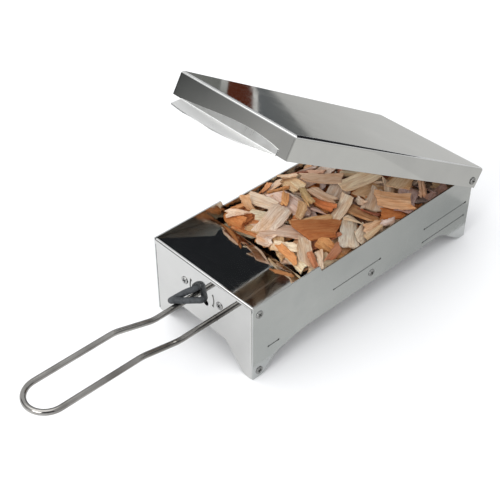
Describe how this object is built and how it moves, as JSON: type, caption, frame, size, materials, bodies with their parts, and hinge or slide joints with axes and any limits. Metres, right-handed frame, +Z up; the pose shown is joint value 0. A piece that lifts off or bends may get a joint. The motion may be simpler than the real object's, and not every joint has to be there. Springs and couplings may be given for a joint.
{
  "type": "wood chip smoker box",
  "caption": "Folded stainless smoker box on four sheet feet, with a wedge-opening hinged lid, a heap of wood chips, a sloping front plate and a pull-out wire handle held by a cord loop",
  "frame": {"origin": "on the ground under the middle of the whole object's bounding box, with the lid open at its rest angle and the handle pushed in", "axes": "+X to the right across the box seen from the handle, +Y from the handle to the hinge, +Z up"},
  "size_m": [0.11, 0.397, 0.1903],
  "materials": {
    "panel_steel": "satin to polished stainless sheet",
    "mirror_steel": "mirror polished stainless sheet",
    "inner_steel": "plain mill finish stainless sheet",
    "wire_steel": "polished stainless wire",
    "screw_steel": "bright stainless fasteners",
    "cord_rubber": "matte charcoal heat-resistant cord",
    "chip_wood": "dry split wood chips"
  },
  "bodies": {
    "box": {"side_and_rear_wall": "panel_steel", "front_panel": "mirror_steel", "chip_tray": "inner_steel", "base_pan": "inner_steel", "handle_bracket": "inner_steel", "retaining_loop": "cord_rubber", "wood_chips": "chip_wood", "side_screws": "screw_steel", "side_lock_washers": "screw_steel", "side_nuts": "screw_steel", "bracket_screws": "screw_steel", "bracket_lock_washers": "screw_steel", "bracket_nuts": "screw_steel", "hinge_screws": "screw_steel", "hinge_spring_washers": "screw_steel", "hinge_spacers": "screw_steel", "hinge_nuts": "screw_steel"},
    "lid": {"lid_shell": "mirror_steel", "lid_lip": "panel_steel"},
    "handle": {"handle_wire": "wire_steel"}
  },
  "joints": [
    {"name": "lid_hinge", "type": "hinge", "parent": "box", "child": "lid", "pos_m": [0, 0.1867, 0.0575], "axis": [-1, 0, 0], "range_deg": [-30.9, 79]},
    {"name": "handle_slide", "type": "slide", "parent": "box", "child": "handle", "axis": [0, -1, 0], "range_m": [0, 0.052]}
  ]
}
